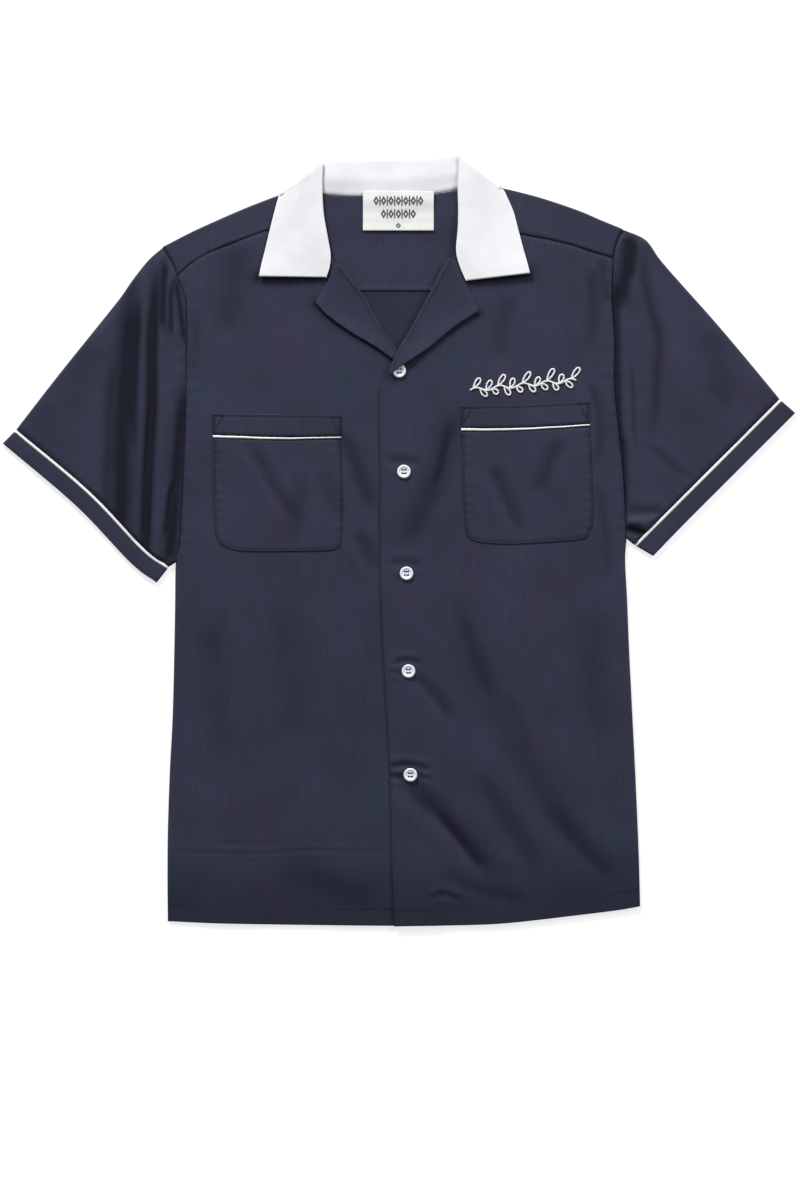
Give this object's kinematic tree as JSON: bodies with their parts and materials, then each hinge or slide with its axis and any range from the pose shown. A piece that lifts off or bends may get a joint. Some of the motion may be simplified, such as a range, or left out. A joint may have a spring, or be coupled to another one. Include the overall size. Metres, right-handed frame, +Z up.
{
  "type": "bowling shirt",
  "caption": "Short-sleeved camp-collar shirt laid flat, buttoned below open lapels, with contrast collar, piped patch pockets and piped cuffs.",
  "frame": {"origin": "middle of the box round the shirt, at the level of the surface it lies on", "axes": "+X across, towards the wearer's left sleeve; +Y from the hem towards the collar; +Z up, out of the front"},
  "size_m": [0.792, 0.7725, 0.0094],
  "materials": {
    "navy_twill": "satin",
    "navy_lining_side": "matte",
    "white_poplin": "matte",
    "white_piping": "matte",
    "white_label": "satin",
    "white_button": "gloss"
  },
  "bodies": {
    "root": {"back": "navy_lining_side", "yoke": "navy_lining_side", "front_right": "navy_twill", "front_left": "navy_twill", "lapel_right": "navy_twill", "lapel_left": "navy_twill", "sleeve_right": "navy_twill", "sleeve_left": "navy_twill", "cuff_right": "navy_twill", "cuff_left": "navy_twill", "cuff_piping_right": "white_piping", "cuff_piping_left": "white_piping", "collar": "white_poplin", "collar_stand": "white_poplin", "pocket_right": "navy_twill", "pocket_left": "navy_twill", "pocket_band_right": "navy_twill", "pocket_band_left": "navy_twill", "pocket_piping_right": "white_piping", "pocket_piping_left": "white_piping", "label": "white_label", "button_1": "white_button", "button_2": "white_button", "button_3": "white_button", "button_4": "white_button", "button_5": "white_button"}
  },
  "joints": []
}
